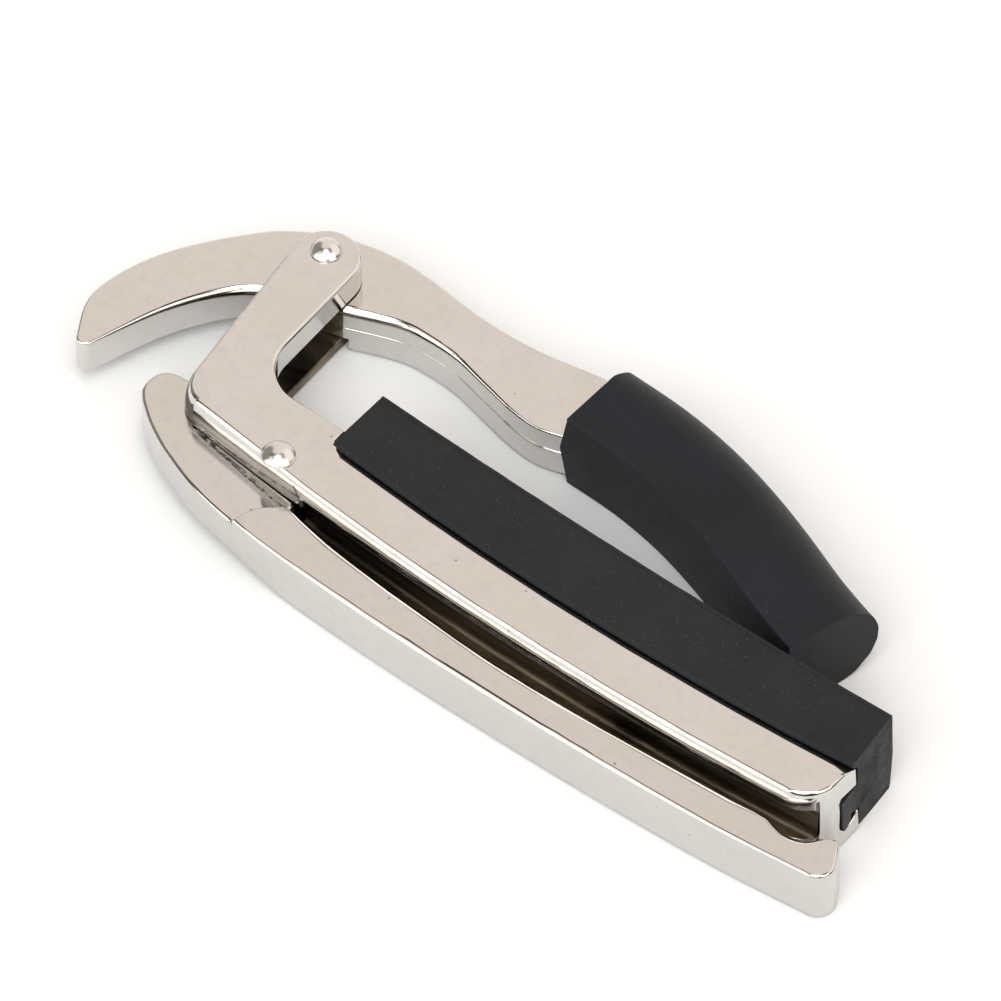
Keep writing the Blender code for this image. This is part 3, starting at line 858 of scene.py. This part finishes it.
def sleeve_profile():
    """The sleeve's section of (depth, height): flat wall, moulding flash on its top edge, half round behind."""
    half = RUBBER_HEIGHT / 2
    back = SLEEVE_DEPTH - half
    flat = rounded([
        (back, RUBBER_HEIGHT, 0),
        (0.18, RUBBER_HEIGHT, 0.05), (0.06, RUBBER_HEIGHT + 0.05, 0.04), (-0.06, RUBBER_HEIGHT - 0.06, 0.04),
        (0.0, RUBBER_HEIGHT - 0.25, 0.05),
        (-0.05, half, 0), (0.05, 0, 0.22), (back, 0, 0)], 5)
    return flat + [(d, h + half) for d, h in arc((back, 0), half, -90, 90, 36)][1:-1]


def build_sleeve():
    """The moulded sleeve, whose mouth hugs the arm."""
    wall = smooth(SLEEVE_WALL, 14)
    profile = sleeve_profile()
    length = 0.0
    sections = []
    for i, (x, y) in enumerate(wall):
        before = wall[max(i - 1, 0)]
        after = wall[min(i + 1, len(wall) - 1)]
        length += math.dist(before, (x, y))
        span = math.dist(before, after)
        out = ((before[1] - after[1]) / span, (after[0] - before[0]) / span)
        mouth = max(0.0, 1 - length / MOUTH_LENGTH)
        section = []
        for depth, height in profile:
            hug = mouth * 0.9 * max(0.0, 1 - abs(height - 4.6) / 4.2) * max(0.0, 1 - depth / 4)
            ripple = wobble(depth, height, i, 1.3, 0.12) if i in (0, len(wall) - 1) else 0.0
            section.append((x - hug + ripple + out[0] * depth, y + out[1] * depth, height))
        sections.append(section)
    return smooth_shaded(loft("sleeve_body", sections), SHARP_RUBBER)


# ---------------------------------------------------------------- studio

def build_camera():
    azimuth, elevation = math.radians(AZIMUTH), math.radians(ELEVATION)
    forward = Vector((-math.sin(azimuth) * math.cos(elevation), math.cos(azimuth) * math.cos(elevation),
                      -math.sin(elevation)))
    right = Vector((math.cos(azimuth), math.sin(azimuth), 0))
    up = right.cross(forward)
    centre = Vector(world(0, 0, FRAME_TOP)) + (right * AIM_RIGHT + up * AIM_UP) * MM
    distance = PICTURE_WIDTH / 2 / math.tan(math.radians(FIELD_OF_VIEW / 2)) * MM
    data = bpy.data.cameras.new("camera")
    data.angle = math.radians(FIELD_OF_VIEW)
    data.clip_start = 0.05
    data.clip_end = 20
    camera = new_object("camera", data)
    camera.matrix_world = Matrix.Translation(centre - forward * distance) @ Matrix(
        (right, up, -forward)).transposed().to_4x4()
    bpy.context.scene.camera = camera


FLOOR_DARK = (0.79, 0.805, 0.825)
FLOOR_LIGHT = (0.80, 0.815, 0.835)


def build_floor():
    shape = bmesh.new()
    bmesh.ops.create_grid(shape, x_segments=1, y_segments=1, size=3.0)
    floor = mesh_from("floor", shape)
    nodes = Nodes("floor_paper")
    nodes.set(Roughness=0.95)
    nodes.link(nodes.ramp(nodes.noise(6, 2), (0.3, FLOOR_DARK), (0.7, FLOOR_LIGHT)), "Base Color")
    floor.data.materials.append(nodes.material)


def build_key_light():
    """A large soft panel above, kept out of the reflections."""
    data = bpy.data.lights.new("key", "AREA")
    data.shape = "SQUARE"
    data.size = 1.4
    data.energy = 3
    light = new_object("key", data)
    light.location = (-0.2, -0.3, 1.2)
    light.rotation_euler = light.location.to_track_quat("Z", "Y").to_euler()
    light.visible_glossy = False


DARK_STUDIO = (0.05, 0.045, 0.04)
WARM = (1.06, 0.95, 0.875)

# Soft panels around the object: colour, azimuth, elevation, and how far from there it is whole and is gone.
# Azimuth 0 is straight behind the object, 90 is to its right. A later panel covers an earlier one.
PANELS = [
    (WARM, 0, 52, 30, 34),  # mirrored by every flat top
    (WARM, 0, 18, 40, 50),
    ((1.3, 1.2, 1.08), 72, 36, 26, 32),  # mirrored by edges and walls that face the jaw
    ((0.32, 0.30, 0.28), 305, 25, 26, 32),
    ((1.9, 1.8, 1.65), 138, 36, 23, 27),
    ((3.0, 2.9, 2.75), 243, 17, 20, 22),  # mirrored by the bright line along the outer edges
    ((1.3, 1.17, 1.02), 253, 48, 10, 12),  # mirrored by the bar's outer wall
    ((3.0, 2.95, 2.85), 190, 72, 17, 19),
    ((3.3, 3.25, 3.15), 201, 42, 21, 23),  # mirrored by the edges of the claw and the arm
]


def build_world():
    """A dark studio with soft panels, which the plating mirrors."""
    sky = bpy.data.worlds.new("studio")
    sky.use_nodes = True
    bpy.context.scene.world = sky
    tree = sky.node_tree
    direction = tree.nodes.new("ShaderNodeTexCoord").outputs["Generated"]

    def patch(azimuth, elevation, inner, outer):
        """1 near a direction, falling to 0 at the outer angle."""
        a, e = math.radians(90 + AZIMUTH - azimuth), math.radians(elevation)
        towards = (math.cos(a) * math.cos(e), math.sin(a) * math.cos(e), math.sin(e))
        dot = tree.nodes.new("ShaderNodeVectorMath")
        dot.operation = "DOT_PRODUCT"
        dot.inputs[1].default_value = towards
        tree.links.new(direction, dot.inputs[0])
        spread = tree.nodes.new("ShaderNodeMapRange")
        spread.interpolation_type = "SMOOTHSTEP"
        spread.inputs["From Min"].default_value = math.cos(math.radians(outer))
        spread.inputs["From Max"].default_value = math.cos(math.radians(inner))
        tree.links.new(dot.outputs["Value"], spread.inputs["Value"])
        return spread.outputs["Result"]

    def over(below, colour, factor):
        mix = tree.nodes.new("ShaderNodeMix")
        mix.data_type = "RGBA"
        mix.clamp_result = False
        tree.links.new(factor, mix.inputs[0])
        if isinstance(below, tuple):
            mix.inputs[6].default_value = (*below, 1)
        else:
            tree.links.new(below, mix.inputs[6])
        mix.inputs[7].default_value = (*colour, 1)
        return mix.outputs[2]

    light = DARK_STUDIO
    for colour, azimuth, elevation, inner, outer in PANELS:
        light = over(light, colour, patch(azimuth, elevation, inner, outer))
    background = tree.nodes["Background"]
    tree.links.new(light, background.inputs["Color"])
    background.inputs["Strength"].default_value = 1.0


def main():
    build_camera()
    build_floor()
    build_world()
    build_key_light()
    bpy.context.scene.view_settings.view_transform = "Standard"

    frame_plate = nickel("frame_nickel_plate", PLATING, PLATING_STAIN)
    # Painted shade for the frame's hollows.
    frame_hollow_shade = hollow_shade_paint("nickel_painted_hollow_shade")
    arm_plate = nickel("arm_nickel_plate", PLATING, PLATING_STAIN)
    lever_plate = nickel("lever_nickel_plate", LEVER_PLATING, PLATING_STAIN, scuff_and_shadow=SCUFF_AND_SHADOW_LINE)
    steel = nickel("rivet_polish", STEEL, STEEL_STAIN, gloss_range=STEEL_GLOSS)
    pad_black = rubber("pad_black", PAD_BLACK, roughness=0.72, dust=1.0, grain=0.5)
    pad_cut = cut_rubber("pad_cut")
    sleeve_black = rubber("sleeve_black", SLEEVE_BLACK, roughness=0.5, dust=0.5, grain=0.25)

    finish(build_frame(), [frame_plate, frame_hollow_shade], "frame", "frame")
    finish(build_arm(), [arm_plate], "neck_arm", "neck_arm")
    finish(build_lever(), [lever_plate], "lever", "lever")
    finish(build_rivet("arm_rivet_body", ARM_PIVOT, *ARM_RIVET), [steel], "frame", "arm_rivet")
    finish(build_rivet("lever_rivet_body", (0, 0), *LEVER_RIVET), [steel], "frame",
           "lever_rivet")
    pad = finish(build_pad(), [pad_black, pad_cut], "frame", "fret_pad")
    finish(build_sleeve(), [sleeve_black], "neck_arm", "neck_sleeve")


main()
